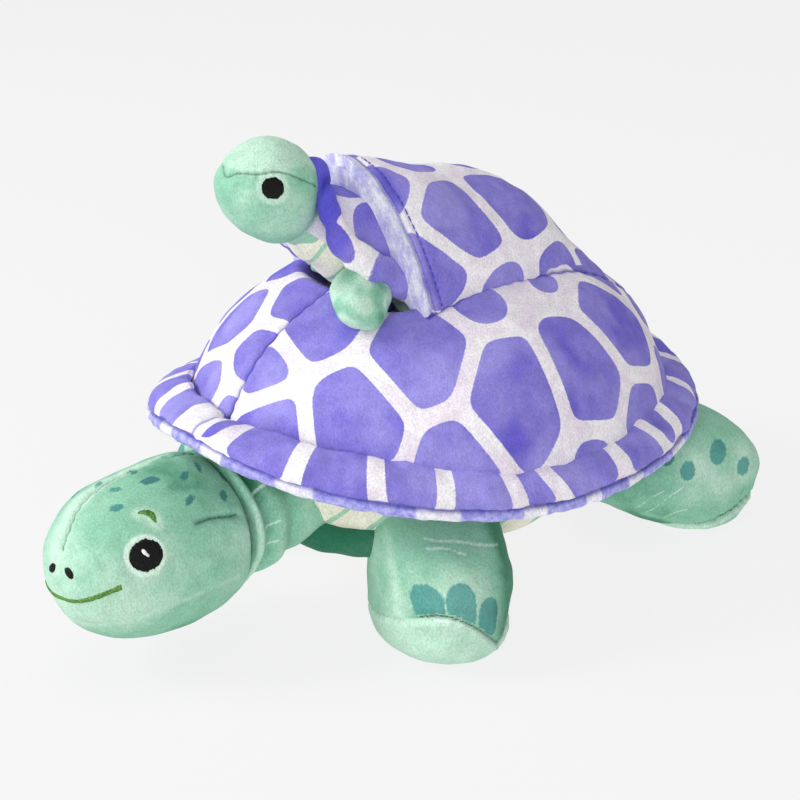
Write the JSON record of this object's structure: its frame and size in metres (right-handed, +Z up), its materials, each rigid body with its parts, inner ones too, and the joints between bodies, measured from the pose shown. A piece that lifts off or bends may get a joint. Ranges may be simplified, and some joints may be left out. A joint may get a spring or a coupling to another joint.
{
  "type": "plush turtle carrying a baby turtle",
  "caption": "Stuffed turtle with a padded patterned shell; a hood on the shell forms a pocket that holds a small stuffed baby turtle.",
  "frame": {"origin": "on the floor under the middle of the object's box", "axes": "-Y the way both turtles face, +X their left side, +Z up"},
  "size_m": [0.231, 0.3603, 0.2152],
  "materials": {
    "mint_plush": "short pile",
    "pale_mint_plush": "short pile",
    "deep_green_plush": "short pile",
    "cream_plush": "short pile",
    "lilac_print_plush": "short pile",
    "pale_hem_plush": "short pile",
    "blue_roll_plush": "short pile",
    "black_thread": "satin stitch",
    "olive_thread": "satin stitch"
  },
  "bodies": {
    "mother_trunk": {"shell_dome": "lilac_print_plush", "belly": "cream_plush", "shell_brim": "lilac_print_plush", "brim_edge_roll": "blue_roll_plush", "chest_band_left": "deep_green_plush", "chest_band_right": "deep_green_plush", "tail": "mint_plush", "shell_hood": "lilac_print_plush", "hood_hem": "pale_hem_plush"},
    "mother_neck": {"neck": "mint_plush"},
    "mother_head": {"head": "mint_plush", "eye_left": "black_thread", "eye_right": "black_thread", "brow_left": "olive_thread", "brow_right": "olive_thread", "nostril_left": "black_thread", "nostril_right": "black_thread", "mouth": "olive_thread"},
    "front_leg_left_body": {"front_leg_left": "mint_plush", "front_sole_left": "pale_mint_plush"},
    "front_leg_right_body": {"front_leg_right": "mint_plush", "front_sole_right": "pale_mint_plush"},
    "hind_leg_left_body": {"hind_leg_left": "mint_plush", "hind_sole_left": "pale_mint_plush"},
    "hind_leg_right_body": {"hind_leg_right": "mint_plush", "hind_sole_right": "pale_mint_plush"},
    "baby_trunk": {"baby_shell": "lilac_print_plush", "baby_belly": "cream_plush", "baby_neck": "mint_plush", "baby_brim": "lilac_print_plush", "baby_front_foot_left": "pale_mint_plush", "baby_front_foot_right": "pale_mint_plush", "baby_hind_foot_left": "pale_mint_plush", "baby_hind_foot_right": "pale_mint_plush"},
    "baby_head_body": {"baby_head": "pale_mint_plush", "baby_eye_left": "black_thread", "baby_eye_right": "black_thread"}
  },
  "joints": [
    {"name": "neck_turn", "type": "hinge", "parent": "mother_trunk", "child": "mother_neck", "pos_m": [0, -0.0533, 0.0555], "axis": [0, 0, 1], "range_deg": [-6, 6], "stiffness_Nm_per_rad": 1.5},
    {"name": "head_nod", "type": "hinge", "parent": "mother_neck", "child": "mother_head", "pos_m": [0, -0.1163, 0.05], "axis": [-1, 0, 0], "range_deg": [-8, 15], "stiffness_Nm_per_rad": 1.5},
    {"name": "front_leg_left_sweep", "type": "hinge", "parent": "mother_trunk", "child": "front_leg_left_body", "pos_m": [0.063, -0.0213, 0.03], "axis": [0, 0, 1], "range_deg": [-12, 12], "stiffness_Nm_per_rad": 1},
    {"name": "front_leg_right_sweep", "type": "hinge", "parent": "mother_trunk", "child": "front_leg_right_body", "pos_m": [-0.063, -0.0213, 0.03], "axis": [0, 0, 1], "range_deg": [-12, 12], "stiffness_Nm_per_rad": 1},
    {"name": "hind_leg_left_sweep", "type": "hinge", "parent": "mother_trunk", "child": "hind_leg_left_body", "pos_m": [0.044, 0.1072, 0.03], "axis": [0, 0, 1], "range_deg": [-12, 12], "stiffness_Nm_per_rad": 1},
    {"name": "hind_leg_right_sweep", "type": "hinge", "parent": "mother_trunk", "child": "hind_leg_right_body", "pos_m": [-0.044, 0.1072, 0.03], "axis": [0, 0, 1], "range_deg": [-12, 12], "stiffness_Nm_per_rad": 1},
    {"name": "baby_slide", "type": "slide", "parent": "mother_trunk", "child": "baby_trunk", "axis": [0, -0.8039, 0.5948], "range_m": [0, 0.09]},
    {"name": "baby_head_nod", "type": "hinge", "parent": "baby_trunk", "child": "baby_head_body", "pos_m": [0, -0.0613, 0.195], "axis": [-1, 0, 0], "range_deg": [-10, 10], "stiffness_Nm_per_rad": 0.2}
  ]
}
